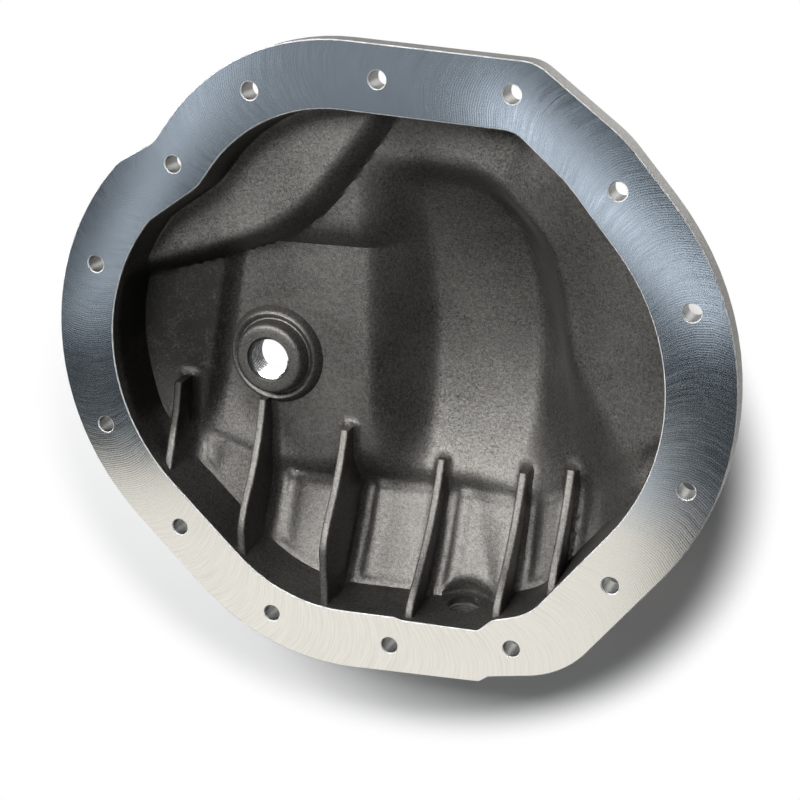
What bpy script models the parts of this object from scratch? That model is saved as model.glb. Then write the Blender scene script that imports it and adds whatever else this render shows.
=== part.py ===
"""Differential cover: one aluminium casting with a milled gasket flange and six inner fins.

Metres, +Z up. The gasket face lies in the plane y = 0 and faces -Y, the bowl reaches towards +Y,
and the origin is the middle of the opening, level with the axle's centre line.
"""
import math

import bmesh
import bpy
import numpy as np
from mathutils import Matrix

# Flange
FLANGE_THICKNESS = 0.0130
FLANGE_REAR_ROUND = 0.0020
FACE_CHAMFER = 0.0005
BOLT_HOLE_DIAMETER = 0.0087
BOLT_HOLE_CHAMFER = 0.0005

# Opening and flange outlines, counter-clockwise seen from the gasket side.
# Each corner is x, z and the radius that rounds it.
OPENING_CORNERS = (
    (0.1755, 0.0010, 0.1120),
    (0.0950, 0.1015, 0.0600),
    (0.0705, 0.1235, 0.0150),
    (-0.0590, 0.1325, 0.0825),
    (-0.0920, 0.0880, 0.0300),
    (-0.1205, 0.0690, 0.0200),
    (-0.1848, -0.0050, 0.1040),
    (-0.0560, -0.1330, 0.0800),
    (0.0070, -0.1310, 0.0060),
    (0.0110, -0.1322, 0.0060),
    (0.0525, -0.1312, 0.0040),
    (0.0595, -0.1242, 0.0060),
    (0.0790, -0.1180, 0.0300),
)
FLANGE_CORNERS = (
    (0.2200, 0.0050, 0.1465),
    (0.1220, 0.1225, 0.0600),
    (0.0805, 0.1550, 0.0200),
    (-0.0695, 0.1662, 0.1120),
    (-0.1155, 0.1088, 0.0150),
    (-0.1365, 0.0974, 0.0150),
    (-0.2337, 0.0000, 0.1360),
    (-0.0666, -0.1668, 0.1120),
    (0.0530, -0.1601, 0.0030),
    (0.0577, -0.1564, 0.0040),
    (0.0974, -0.1486, 0.0500),
)

# Bolt holes, x and z, clockwise from the upper left
BOLT_HOLES = (
    (-0.0615, 0.1363), (0.0041, 0.1442), (0.0694, 0.1401), (0.1192, 0.0989), (0.1547, 0.0455),
    (0.1553, -0.0413), (0.1202, -0.0955), (0.0702, -0.1384), (0.0041, -0.1476), (-0.0626, -0.1399),
    (-0.1145, -0.0974), (-0.1549, -0.0438), (-0.1534, 0.0440), (-0.1052, 0.0984),
)

# Casting wall
WALL = 0.0060
WALL_STEEPNESS = 14.0
WALL_FILLET = 0.0060
REAR_FILLET = 0.0040

# Axle centre line, in front of the gasket face, about which the fins and the gear pocket are turned
AXLE_STANDOFF = 0.0820

# Middle floor of the bowl, and the zones that rise from it
FLOOR_DEPTH = 0.0460
TOP_CREASE_HEIGHT = 0.0510
TOP_STEP = 0.0085
TOP_FLANK = 0.0160
TOP_SLOPE = 0.05
LEFT_CREASE_X = -0.0970
LEFT_CREASE_LEAN = 0.195
LEFT_STEP = 0.0075
LEFT_FLANK = 0.0110
LEFT_SLOPE = 0.06
SHELF_DEPTH = 0.0220
SHELF_TILT = 0.08
SHELF_FLANK = 0.0125
SHELF_CORNER = (-0.0490, 0.0570)
SHELF_CORNER_BLEND = 0.0200
SHELF_LOWER_ANGLE = 16.0
SHELF_SIDE_ANGLE = 51.4

# Sloping foot of the wall: its depth and slope over the sump, beside the gear and at the upper left.
# Each turn gives the direction, the reach and the width of the change from the sump's values.
SKIRT_START_SUMP = 0.0230
SKIRT_START_GEAR = 0.0045
SKIRT_START_LEFT = 0.0290
SKIRT_SLOPE_SUMP = 0.72
SKIRT_SLOPE_GEAR = 0.42
GEAR_TURN = (0.8, 0.6)
GEAR_TURN_REACH = 0.0580
GEAR_TURN_SPAN = 0.0500
LEFT_TURN = (-0.6, 0.8)
LEFT_TURN_REACH = 0.0500
LEFT_TURN_SPAN = 0.0500

# Gear pocket: its rim at the left, right, top and upper right corner, and the width of its walls
POCKET_RADIUS = 0.1560
POCKET_WALL = 0.0340
POCKET_LEFT_X = -0.0250
POCKET_RIGHT_X = 0.0940
POCKET_RIGHT_RADIUS = 0.2940
POCKET_TOP_Z = 0.1060
POCKET_TOP_WALL = 0.0180
POCKET_CORNER_REACH = 0.1110
POCKET_CORNER_ANGLE = 54.0

# Sump
SUMP_LINE_Z = -0.0810
SUMP_LINE_LEFT_X = -0.0640
SUMP_LINE_LEFT_RISE = 0.48
SUMP_LINE_RIGHT_X = 0.0690
SUMP_LINE_RIGHT_RISE = 0.80
SUMP_ROOF_SLOPE = 2.0

# Blends between the cast surfaces
POCKET_BLEND = 0.0240
SUMP_ROOF_BLEND = 0.0160
SOFT_BLEND = 0.0090
TIGHT_BLEND = 0.0060
SUMP_LINE_BLEND = 0.0200

# Fins: x of the middle plane, radius of the crest about the axle's centre line, and top's height
FINS = (
    (-0.1225, 0.1070, -0.0240),
    (-0.0803, 0.1230, -0.0340),
    (-0.0334, 0.1270, -0.0460),
    (0.0135, 0.1520, -0.0640),
    (0.0608, 0.1450, -0.0630),
    (0.0893, 0.1310, -0.0535),
)
FIN_THICKNESS = 0.0046
FIN_CREST_MIN_DEPTH = 0.0030
FIN_CREST_BLEND = 0.0120
FIN_ROOT = 0.0030
FIN_PIECES = 14

# Fill hole, along Y. Its boss is a low ridge, a groove and a collar,
# as pairs of radius and rise above the middle floor, from below the floor inwards.
FILL_X = -0.0752
FILL_Z = -0.0108
FILL_BORE = 0.0225
FILL_BOSS_SECTION = (
    (0.0282, -0.0015), (0.0243, 0.0042), (0.0234, 0.0046), (0.0216, 0.0037), (0.0202, 0.0034),
    (0.0194, 0.0080), (0.0179, 0.0102), (0.0150, 0.0106),
)
FILL_SPOT_FACE = 0.0340
SPOT_FACE_CUT = 0.0005

# Drain hole, along Z
DRAIN_X = 0.0366
DRAIN_Y = 0.0240
DRAIN_BORE = 0.0172
DRAIN_BOSS_DIAMETER = 0.0290
DRAIN_BOSS_LENGTH = 0.0100
DRAIN_SCOOP_MARGIN = 0.00515
DRAIN_SCOOP_TOP = -0.1020
DRAIN_SCOOP_SLOPE = 2.0

# Fineness of the mesh
STATION_STEP = math.radians(3.75)
STATION_GAP = STATION_STEP / 3.0
SMALLEST_GAP = STATION_STEP / 6.0
EDGE_SAMPLES = 721
TIGHT_RADIUS = 0.0100
DRAIN_SHARES = (-1.0, -0.7, -0.35, 0.0, 0.35, 0.7, 1.0)
ARC_STEP = math.radians(6.0)
QUARTER_ROUND = (0.0, math.pi / 4.0, math.pi / 2.0)
INNER_STEPS = (0.0200, 0.0140, 0.0090, 0.0055, 0.0032, 0.0020, 0.0013, 0.0008, 0.0003)
OUTER_STEPS = (0.0007, 0.0018, 0.0036, 0.0070, 0.0130, 0.0210)
SHELL_REACHES = (0.5, 0.85, 1.0)
SHELL_SIDES = 8
BOWL_GRID = 0.0062
BACK_GRID = 0.0085
HOLE_SIDES = 20
BOSS_SIDES = 36
CUTTER_OVERRUN = 0.0050

NAME = "differential_cover"
COLOUR = (0.36, 0.35, 0.33, 1.0)
ROUGHNESS = 0.55
METALLIC = 0.85
SMOOTH_ANGLE = math.radians(32.0)


def clear_scene():
    """Remove whatever the file holds."""
    for item in list(bpy.data.objects):
        bpy.data.objects.remove(item, do_unlink=True)


def collection(name):
    """A new collection under the scene's own."""
    made = bpy.data.collections.new(name)
    bpy.context.scene.collection.children.link(made)
    return made


def cast_metal():
    """Cast aluminium."""
    material = bpy.data.materials.new("cast_aluminium")
    material.use_nodes = True
    shader = material.node_tree.nodes["Principled BSDF"]
    shader.inputs["Base Color"].default_value = COLOUR
    shader.inputs["Roughness"].default_value = ROUGHNESS
    shader.inputs["Metallic"].default_value = METALLIC
    return material


def rounded_outline(corners):
    """Points of a closed outline whose corners are rounded by arcs."""
    points = []
    count = len(corners)
    for index, (x, z, radius) in enumerate(corners):
        here = np.array((x, z))
        back = np.array(corners[index - 1][:2]) - here
        ahead = np.array(corners[(index + 1) % count][:2]) - here
        back_length, ahead_length = np.linalg.norm(back), np.linalg.norm(ahead)
        back, ahead = back / back_length, ahead / ahead_length
        half = 0.5 * math.acos(max(-1.0, min(1.0, float(back @ ahead))))
        cut = min(radius / math.tan(half), 0.98 * back_length, 0.98 * ahead_length)
        fitted = cut * math.tan(half)
        start, end = here + back * cut, here + ahead * cut
        middle = here + (back + ahead) / np.linalg.norm(back + ahead) * fitted / math.sin(half)
        sweep = math.pi - 2.0 * half
        steps = max(1, math.ceil(sweep / ARC_STEP))
        turn = 1.0 if back[0] * ahead[1] - back[1] * ahead[0] < 0.0 else -1.0
        arm = start - middle
        for step in range(steps + 1):
            angle = turn * sweep * step / steps
            cosine, sine = math.cos(angle), math.sin(angle)
            points.append(middle + (cosine * arm[0] - sine * arm[1], sine * arm[0] + cosine * arm[1]))
        points[-1] = end
    return np.array(points)


OPENING = rounded_outline(OPENING_CORNERS)
FLANGE = rounded_outline(FLANGE_CORNERS)


def reach(outline, angles):
    """Distance from the origin to the outline along each angle."""
    start = outline
    step = np.roll(outline, -1, axis=0) - outline
    found = np.zeros(len(angles))
    for index, angle in enumerate(angles):
        ray = np.array((math.cos(angle), math.sin(angle)))
        across = ray[0] * step[:, 1] - ray[1] * step[:, 0]
        across = np.where(np.abs(across) < 1e-12, 1e-12, across)
        share = (start[:, 1] * ray[0] - start[:, 0] * ray[1]) / -across
        length = (start[:, 0] * step[:, 1] - start[:, 1] * step[:, 0]) / across
        valid = (share > -1e-9) & (share < 1.0 + 1e-9) & (length > 0.0)
        found[index] = length[valid].max()
    return found


def inset(x, z):
    """How far a point lies inside the opening's edge, negative outside it."""
    points = np.stack((x, z), axis=-1)[..., None, :]
    step = np.roll(OPENING, -1, axis=0) - OPENING
    share = ((points - OPENING) * step).sum(-1) / (step ** 2).sum(-1)
    nearest = OPENING + np.clip(share, 0.0, 1.0)[..., None] * step
    distance = np.sqrt(((points - nearest) ** 2).sum(-1)).min(-1)
    edge = reach(OPENING, np.arctan2(z, x).ravel()).reshape(np.shape(x))
    return np.where(np.hypot(x, z) < edge, distance, -distance)


def least(first, second, blend):
    """The smaller of two depths, rounded where they cross."""
    near = np.maximum(blend - np.abs(first - second), 0.0) / blend
    return np.minimum(first, second) - near ** 2 * blend / 4.0


def most(first, second, blend):
    """The larger of two depths, rounded where they cross."""
    return -least(-first, -second, blend)


def ease(share):
    """A soft step from 0 to 1."""
    share = np.clip(share, 0.0, 1.0)
    return share * share * (3.0 - 2.0 * share)


def roll(share):
    """A step from 0 to 1 that starts steep and ends level."""
    return 1.0 - (1.0 - np.clip(share, 0.0, 1.0)) ** 2


def ramp(length, blend):
    """The positive part of a length, softened at zero."""
    return most(length, np.zeros_like(length), blend)


def beyond_turn(x, z, direction, turn_reach, span):
    """Soft step from 0 to 1 across a straight line, given by its direction and distance."""
    return ease((direction[0] * x + direction[1] * z - turn_reach) / span + 0.5)


def turned(radius, z):
    """Depth of a cylinder about the axle's centre line."""
    return np.sqrt(np.maximum(radius ** 2 - z ** 2, 0.0)) - AXLE_STANDOFF


def skirt(x, z, edge):
    """The wall's sloping foot, deep at the sump and shallow beside the gear."""
    gear = beyond_turn(x, z, GEAR_TURN, GEAR_TURN_REACH, GEAR_TURN_SPAN)
    left = beyond_turn(x, z, LEFT_TURN, LEFT_TURN_REACH, LEFT_TURN_SPAN)
    start = SKIRT_START_SUMP + (SKIRT_START_GEAR - SKIRT_START_SUMP) * gear
    start = start + (SKIRT_START_LEFT - start) * left
    return start + (SKIRT_SLOPE_SUMP + (SKIRT_SLOPE_GEAR - SKIRT_SLOPE_SUMP) * gear) * edge


def shelf_inset(x, z):
    """How far a point lies on the raised shelf at the upper left."""
    lower, side = math.radians(SHELF_LOWER_ANGLE), math.radians(SHELF_SIDE_ANGLE)
    across, up = x - SHELF_CORNER[0], z - SHELF_CORNER[1]
    above = up * math.cos(lower) - across * math.sin(lower)
    beside = up * math.cos(side) - across * math.sin(side)
    return least(above, beside, SHELF_CORNER_BLEND)


def middle_floor(x, z, edge):
    """Depth of the bowl's middle with the top, left and shelf zones that rise from it."""
    above = z - TOP_CREASE_HEIGHT
    top_rise = TOP_STEP * roll(above / TOP_FLANK) + TOP_SLOPE * ramp(above, TIGHT_BLEND)
    beyond = LEFT_CREASE_X + LEFT_CREASE_LEAN * z - x
    left_rise = LEFT_STEP * ease(beyond / LEFT_FLANK) + LEFT_SLOPE * ramp(beyond, TIGHT_BLEND)
    depth = FLOOR_DEPTH - np.hypot(top_rise, left_rise)
    on_shelf = shelf_inset(x, z)
    shelf = SHELF_DEPTH + SHELF_TILT * on_shelf
    depth = depth + np.minimum(shelf - depth, 0.0) * roll(on_shelf / SHELF_FLANK)
    return least(depth, skirt(x, z, edge), SOFT_BLEND)


def pocket_inset(x, z):
    """How far a point lies inside the rim of the ring gear's pocket, measured in wall widths."""
    corner = math.radians(POCKET_CORNER_ANGLE)
    right = POCKET_RIGHT_X - z ** 2 / (2.0 * POCKET_RIGHT_RADIUS)
    beside = least(x - POCKET_LEFT_X, right - x, POCKET_BLEND)
    diagonal = POCKET_CORNER_REACH - x * math.cos(corner) - z * math.sin(corner)
    below = least(POCKET_TOP_Z - z, diagonal, POCKET_TOP_WALL)
    share = POCKET_BLEND / POCKET_WALL
    return least(beside / POCKET_WALL, below / POCKET_TOP_WALL, share)


def sump(x, z, edge):
    """Depth of the sump, whose roof leans back above the deepest line."""
    line = SUMP_LINE_Z + SUMP_LINE_LEFT_RISE * ramp(SUMP_LINE_LEFT_X - x, SUMP_LINE_BLEND)
    line = line + SUMP_LINE_RIGHT_RISE * ramp(x - SUMP_LINE_RIGHT_X, SUMP_LINE_BLEND)
    return skirt(x, z, edge) - SUMP_ROOF_SLOPE * ramp(z - line, TIGHT_BLEND)


def drain_scoop(x, z):
    """Depth of the hollow over the drain hole."""
    radius = DRAIN_BORE / 2.0 + DRAIN_SCOOP_MARGIN
    across = np.clip((x - DRAIN_X) / radius, -1.0, 1.0)
    depth = DRAIN_Y + radius * np.sqrt(1.0 - across ** 2)
    return depth - DRAIN_SCOOP_SLOPE * ramp(z - DRAIN_SCOOP_TOP + radius, radius)


def bowl(x, z):
    """Depth of the bowl's inner surface, without fins and bosses."""
    edge = inset(x, z)
    depth = middle_floor(x, z, edge)
    gear = np.maximum(turned(POCKET_RADIUS, z) - depth, 0.0)
    depth = depth + gear * ease(pocket_inset(x, z))
    depth = most(depth, sump(x, z, edge), SUMP_ROOF_BLEND)
    depth = most(depth, drain_scoop(x, z), TIGHT_BLEND)
    return least(depth, WALL_STEEPNESS * edge, WALL_FILLET)


def outer_surface(x, z):
    """Depth of the back, one wall thickness from the bowl in every direction."""
    depth = bowl(x, z) + WALL
    for share in SHELL_REACHES:
        for step in range(SHELL_SIDES):
            angle = math.tau * step / SHELL_SIDES
            away_x, away_z = share * WALL * math.cos(angle), share * WALL * math.sin(angle)
            near = bowl(x + away_x, z + away_z) + WALL * math.sqrt(1.0 - share ** 2)
            depth = np.maximum(depth, near)
    return depth


def lower_edge(x):
    """Height of the opening's lower edge."""
    spokes = np.linspace(-math.pi, 0.0, EDGE_SAMPLES)
    edge = reach(OPENING, spokes)
    return float(np.interp(x, edge * np.cos(spokes), edge * np.sin(spokes)))


def stations():
    """Angles of the mesh's spokes: even ones, one at each tight corner, and some by the drain."""
    even = list(np.arange(0.0, math.tau, STATION_STEP))
    tight = []
    for x, z, radius in OPENING_CORNERS + FLANGE_CORNERS:
        if radius < TIGHT_RADIUS:
            tight.append(math.atan2(z, x) % math.tau)
    for share in DRAIN_SHARES:
        beside = DRAIN_X + share * (DRAIN_BORE / 2.0 + DRAIN_SCOOP_MARGIN)
        tight.append(math.atan2(lower_edge(DRAIN_X), beside) % math.tau)
    kept = [angle for angle in even if all(abs(angle - other) > STATION_GAP for other in tight)]
    angles = []
    for angle in sorted(kept + tight):
        if not angles or angle - angles[-1] > SMALLEST_GAP:
            angles.append(angle)
    return np.array(angles)


def ring(angles, radii, depths):
    """Places of one closed ring of vertices."""
    return np.stack((radii * np.cos(angles), depths, radii * np.sin(angles)), axis=-1)


def body_rings():
    """Rings from inside the bowl, over the flange and round to the back of the bowl."""
    angles = stations()
    opening, flange = reach(OPENING, angles), reach(FLANGE, angles)
    level = np.ones(len(angles))
    rings = []
    for step in INNER_STEPS:
        radii = opening - step
        rings.append(ring(angles, radii, bowl(radii * np.cos(angles), radii * np.sin(angles))))
    rings.append(ring(angles, opening, FACE_CHAMFER * level))
    rings.append(ring(angles, opening + FACE_CHAMFER, 0.0 * level))
    rings.append(ring(angles, flange - FACE_CHAMFER, 0.0 * level))
    rings.append(ring(angles, flange, FACE_CHAMFER * level))
    for turn in QUARTER_ROUND:
        inward = FLANGE_REAR_ROUND * (1.0 - math.cos(turn))
        back = FLANGE_REAR_ROUND * (1.0 - math.sin(turn))
        rings.append(ring(angles, flange - inward, (FLANGE_THICKNESS - back) * level))
    foot = opening + WALL - FLANGE_THICKNESS / WALL_STEEPNESS
    for turn in QUARTER_ROUND[:2]:
        outward = REAR_FILLET * (1.0 - math.sin(turn))
        back = REAR_FILLET * (1.0 - math.cos(turn))
        rings.append(ring(angles, foot + outward, (FLANGE_THICKNESS + back) * level))
    for step in OUTER_STEPS:
        radii = foot - step
        depths = outer_surface(radii * np.cos(angles), radii * np.sin(angles))
        rings.append(ring(angles, radii, np.maximum(depths, FLANGE_THICKNESS + REAR_FILLET)))
    return rings


def grow_ring(shape, verts, places):
    """Extrude a ring of vertices and move the new ring to its places."""
    edges = [shape.edges.get((vert, verts[index - 1])) for index, vert in enumerate(verts)]
    grown = bmesh.ops.extrude_edge_only(shape, edges=edges)
    fresh = {item for item in grown["geom"] if isinstance(item, bmesh.types.BMVert)}
    following = []
    for vert, place in zip(verts, places):
        partner = next(edge.other_vert(vert) for edge in vert.link_edges if edge.other_vert(vert) in fresh)
        partner.co = place
        following.append(partner)
    return following


def loft(shape, rings):
    """Join rings of equal count, and return the first and the last ring's vertices."""
    bmesh.ops.create_circle(shape, segments=len(rings[0]), radius=1.0)
    shape.verts.ensure_lookup_table()
    first = list(shape.verts)
    for vert, place in zip(first, rings[0]):
        vert.co = place
    last = first
    for places in rings[1:]:
        last = grow_ring(shape, last, places)
    return first, last


def grid_lines(low, high, step, kept):
    """Evenly spaced lines between two limits that also pass through the kept places."""
    marks = [low] + sorted(place for place in kept if low < place < high) + [high]
    lines = [low]
    for start, end in zip(marks, marks[1:]):
        pieces = max(1, round((end - start) / step))
        lines.extend(start + (end - start) * piece / pieces for piece in range(1, pieces + 1))
    return lines


def fill_core(shape, loop, depth_at, step):
    """Close a ring with a square grid that lies on the depth function."""
    hem = np.array([(vert.co.x, vert.co.z) for vert in loop])
    depths = [vert.co.y for vert in loop]
    for vert in loop:
        vert.co.y = 0.0
    kept_x = (
        LEFT_CREASE_X - LEFT_FLANK, LEFT_CREASE_X, POCKET_LEFT_X, POCKET_LEFT_X + POCKET_WALL,
        POCKET_RIGHT_X - POCKET_WALL, POCKET_RIGHT_X,
    )
    kept_z = (
        SUMP_LINE_Z, TOP_CREASE_HEIGHT, TOP_CREASE_HEIGHT + TOP_FLANK, POCKET_TOP_Z - POCKET_TOP_WALL, POCKET_TOP_Z,
    )
    across = grid_lines(hem[:, 0].min(), hem[:, 0].max(), step, kept_x)
    up = grid_lines(hem[:, 1].min(), hem[:, 1].max(), step, kept_z)
    grid = bmesh.ops.create_grid(shape, x_segments=len(across) - 1, y_segments=len(up) - 1, size=0.5)["verts"]
    for vert in grid:
        column = round((vert.co.x + 0.5) * (len(across) - 1))
        row = round((vert.co.y + 0.5) * (len(up) - 1))
        vert.co = (across[column], 0.0, up[row])
    places = np.array([(vert.co.x, vert.co.z) for vert in grid])
    room = reach(hem, np.arctan2(places[:, 1], places[:, 0])) - np.hypot(places[:, 0], places[:, 1])
    outside = {face for vert, gap in zip(grid, room) if gap < 0.5 * step for face in vert.link_faces}
    bmesh.ops.delete(shape, geom=list(outside), context="FACES")
    grid = [vert for vert in grid if vert.is_valid]
    border = list({edge for vert in grid for edge in vert.link_edges if len(edge.link_faces) == 1})
    hem_edges = [shape.edges.get((vert, loop[index - 1])) for index, vert in enumerate(loop)]
    bmesh.ops.triangle_fill(shape, edges=hem_edges + border, use_beauty=True, normal=(0.0, 1.0, 0.0))
    for vert, depth in zip(loop, depths):
        vert.co.y = depth
    places = np.array([(vert.co.x, vert.co.z) for vert in grid])
    for vert, depth in zip(grid, depth_at(places[:, 0], places[:, 1])):
        vert.co.y = depth


def casting(home, material):
    """The cover without fins, bosses and holes."""
    shape = bmesh.new()
    first, last = loft(shape, body_rings())
    fill_core(shape, first, bowl, BOWL_GRID)
    fill_core(shape, last, outer_surface, BACK_GRID)
    bmesh.ops.triangulate(shape, faces=shape.faces, quad_method="SHORT_EDGE")
    bmesh.ops.recalc_face_normals(shape, faces=shape.faces)
    return add_object(NAME, shape, home, material)


def add_object(name, shape, home, material=None):
    """An object made from a bmesh."""
    mesh = bpy.data.meshes.new(name)
    shape.to_mesh(mesh)
    shape.free()
    made = bpy.data.objects.new(name, mesh)
    home.objects.link(made)
    if material:
        mesh.materials.append(material)
    return made


def fin_blade(index, x, crest_radius, top, home):
    """A flat fin whose crest is an arc about the axle's centre line."""
    heights = np.linspace(lower_edge(x) - WALL / 2.0, top, FIN_PIECES + 1)
    lowest = np.full_like(heights, FIN_CREST_MIN_DEPTH)
    front = most(turned(crest_radius, heights), lowest, FIN_CREST_BLEND)
    rear = np.maximum(bowl(np.full_like(heights, x), heights), front) + FIN_ROOT
    outline = [(y, z) for y, z in zip(front, heights)]
    outline += [(y, z) for y, z in zip(rear[::-1], heights[::-1])]
    shape = bmesh.new()
    face = shape.faces.new([shape.verts.new((x - FIN_THICKNESS / 2.0, y, z)) for y, z in outline])
    grown = bmesh.ops.extrude_face_region(shape, geom=[face], use_keep_orig=True)
    moved = [item for item in grown["geom"] if isinstance(item, bmesh.types.BMVert)]
    bmesh.ops.translate(shape, verts=moved, vec=(FIN_THICKNESS, 0.0, 0.0))
    bmesh.ops.recalc_face_normals(shape, faces=shape.faces)
    return add_object(f"fin_{index}", shape, home)


def turned_solid(name, home, profile, centre, sides, upright=False):
    """A solid of revolution along Y, or down along -Z when upright, from radius and height pairs."""
    angles = np.linspace(0.0, math.tau, sides, endpoint=False)
    level = np.ones(sides)
    shape = bmesh.new()
    ends = loft(shape, [ring(angles, radius * level, height * level) for radius, height in profile])
    for loop in ends:
        bmesh.ops.contextual_create(shape, geom=loop)
    if upright:
        bmesh.ops.rotate(shape, verts=shape.verts, matrix=Matrix.Rotation(-math.pi / 2.0, 3, "X"))
    bmesh.ops.translate(shape, verts=shape.verts, vec=centre)
    bmesh.ops.recalc_face_normals(shape, faces=shape.faces)
    return add_object(name, shape, home)


def combine(body, tool, operation):
    """Join a tool to the body or cut it out."""
    tool.hide_render = True
    tool.display_type = "WIRE"
    change = body.modifiers.new(tool.name, "BOOLEAN")
    change.operation = operation
    change.solver = "EXACT"
    change.object = tool


def add_fill_hole(cover, tools):
    """The fill hole's inner boss, spot face and bore."""
    centre = (FILL_X, 0.0, FILL_Z)
    profile = [(radius, FLOOR_DEPTH - rise) for radius, rise in FILL_BOSS_SECTION]
    combine(cover, turned_solid("fill_boss", tools, profile, centre, BOSS_SIDES), "UNION")
    front, back = profile[-1][1], FLOOR_DEPTH + WALL
    spot = [(FILL_SPOT_FACE / 2.0, back - SPOT_FACE_CUT), (FILL_SPOT_FACE / 2.0, back + CUTTER_OVERRUN)]
    combine(cover, turned_solid("fill_spot_face", tools, spot, centre, BOSS_SIDES), "DIFFERENCE")
    bore = [(FILL_BORE / 2.0, front - CUTTER_OVERRUN), (FILL_BORE / 2.0, back + CUTTER_OVERRUN)]
    combine(cover, turned_solid("fill_bore", tools, bore, centre, BOSS_SIDES), "DIFFERENCE")


def add_drain_hole(cover, tools):
    """The drain hole's outer boss and bore, through the bottom wall."""
    centre = (DRAIN_X, DRAIN_Y, lower_edge(DRAIN_X))
    low = WALL + DRAIN_BOSS_LENGTH
    boss = [(DRAIN_BOSS_DIAMETER / 2.0, WALL / 2.0), (DRAIN_BOSS_DIAMETER / 2.0, low)]
    combine(cover, turned_solid("drain_boss", tools, boss, centre, BOSS_SIDES, upright=True), "UNION")
    bore = [(DRAIN_BORE / 2.0, -CUTTER_OVERRUN), (DRAIN_BORE / 2.0, low + CUTTER_OVERRUN)]
    combine(cover, turned_solid("drain_bore", tools, bore, centre, BOSS_SIDES, upright=True), "DIFFERENCE")


def add_bolt_holes(cover, tools):
    """Bolt holes through the flange, chamfered at the gasket face."""
    radius = BOLT_HOLE_DIAMETER / 2.0
    profile = (
        (radius + BOLT_HOLE_CHAMFER + CUTTER_OVERRUN, -CUTTER_OVERRUN),
        (radius, BOLT_HOLE_CHAMFER),
        (radius, FLANGE_THICKNESS + CUTTER_OVERRUN),
    )
    for index, (x, z) in enumerate(BOLT_HOLES, start=1):
        cutter = turned_solid(f"bolt_hole_{index}", tools, profile, (x, 0.0, z), HOLE_SIDES)
        combine(cover, cutter, "DIFFERENCE")


def main():
    """Build the cover."""
    clear_scene()
    home, tools = collection(NAME), collection("cutters")
    cover = casting(home, cast_metal())
    for index, (x, crest_radius, top) in enumerate(FINS, start=1):
        combine(cover, fin_blade(index, x, crest_radius, top, tools), "UNION")
    add_fill_hole(cover, tools)
    add_drain_hole(cover, tools)
    add_bolt_holes(cover, tools)
    cover.data.shade_smooth()
    cover.data.set_sharp_from_angle(angle=SMOOTH_ANGLE)


main()
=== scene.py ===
"""Dressed model of a cast differential cover: grained casting, milled gasket face and cut threads."""
import logging
import math
from dataclasses import dataclass, field
from enum import Enum
from typing import Callable, Mapping, Sequence

import bmesh
import bpy
import numpy as np
from mathutils import Matrix, Quaternion, Vector


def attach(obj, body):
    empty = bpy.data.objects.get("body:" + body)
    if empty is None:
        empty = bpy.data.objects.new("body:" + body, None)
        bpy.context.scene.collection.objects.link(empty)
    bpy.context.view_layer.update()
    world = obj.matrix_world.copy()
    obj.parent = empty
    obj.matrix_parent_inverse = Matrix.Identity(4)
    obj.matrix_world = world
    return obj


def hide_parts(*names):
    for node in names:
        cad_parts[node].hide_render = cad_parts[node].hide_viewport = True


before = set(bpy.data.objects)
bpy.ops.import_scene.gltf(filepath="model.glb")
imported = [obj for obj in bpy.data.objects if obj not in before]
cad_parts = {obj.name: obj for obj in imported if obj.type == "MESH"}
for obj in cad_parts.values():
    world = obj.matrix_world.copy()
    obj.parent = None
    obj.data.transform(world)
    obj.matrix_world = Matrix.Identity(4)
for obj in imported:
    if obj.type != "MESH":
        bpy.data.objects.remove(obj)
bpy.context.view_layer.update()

LOG = logging.getLogger("cover")

Corner = tuple[float, float, float]
Place = tuple[float, float, float]
Number = "Wire | float"


class Finish(Enum):
    """The surface finishes of the cover, in the order of its material slots."""

    CAST = 0
    MILLED = 1
    DRILLED = 2
    EDGE = 3


class Wire:
    """A shader socket that takes part in Python expressions."""

    def __init__(self, bench: "Bench", socket: bpy.types.NodeSocket) -> None:
        """Wrap a socket of the bench's node tree."""
        self.bench = bench
        self.socket = socket

    def maths(self, operation: str, *others: Number) -> "Wire":
        """Add a Math node that starts from this socket.

        Args:
            operation: the node's operation.
            others: further operands.

        Returns:
            The node's result.
        """
        return self.bench.maths(operation, self, *others)

    def __add__(self, other: Number) -> "Wire":
        """Sum."""
        return self.maths("ADD", other)

    def __radd__(self, other: Number) -> "Wire":
        """Sum from the right."""
        return self.maths("ADD", other)

    def __sub__(self, other: Number) -> "Wire":
        """Difference."""
        return self.maths("SUBTRACT", other)

    def __rsub__(self, other: Number) -> "Wire":
        """Difference from the right."""
        return self.bench.maths("SUBTRACT", other, self)

    def __mul__(self, other: Number) -> "Wire":
        """Product."""
        return self.maths("MULTIPLY", other)

    def __rmul__(self, other: Number) -> "Wire":
        """Product from the right."""
        return self.maths("MULTIPLY", other)

    def __truediv__(self, other: Number) -> "Wire":
        """Quotient."""
        return self.maths("DIVIDE", other)

    def band(self, low: float, high: float) -> "Wire":
        """A soft step from 0 at low to 1 at high.

        Args:
            low: value where the step starts.
            high: value where the step ends.

        Returns:
            The step between 0 and 1.
        """
        settings = {"interpolation_type": "SMOOTHSTEP"}
        return self.bench.node("ShaderNodeMapRange", settings, {0: self, 1: low, 2: high, 3: 0.0, 4: 1.0})


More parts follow.
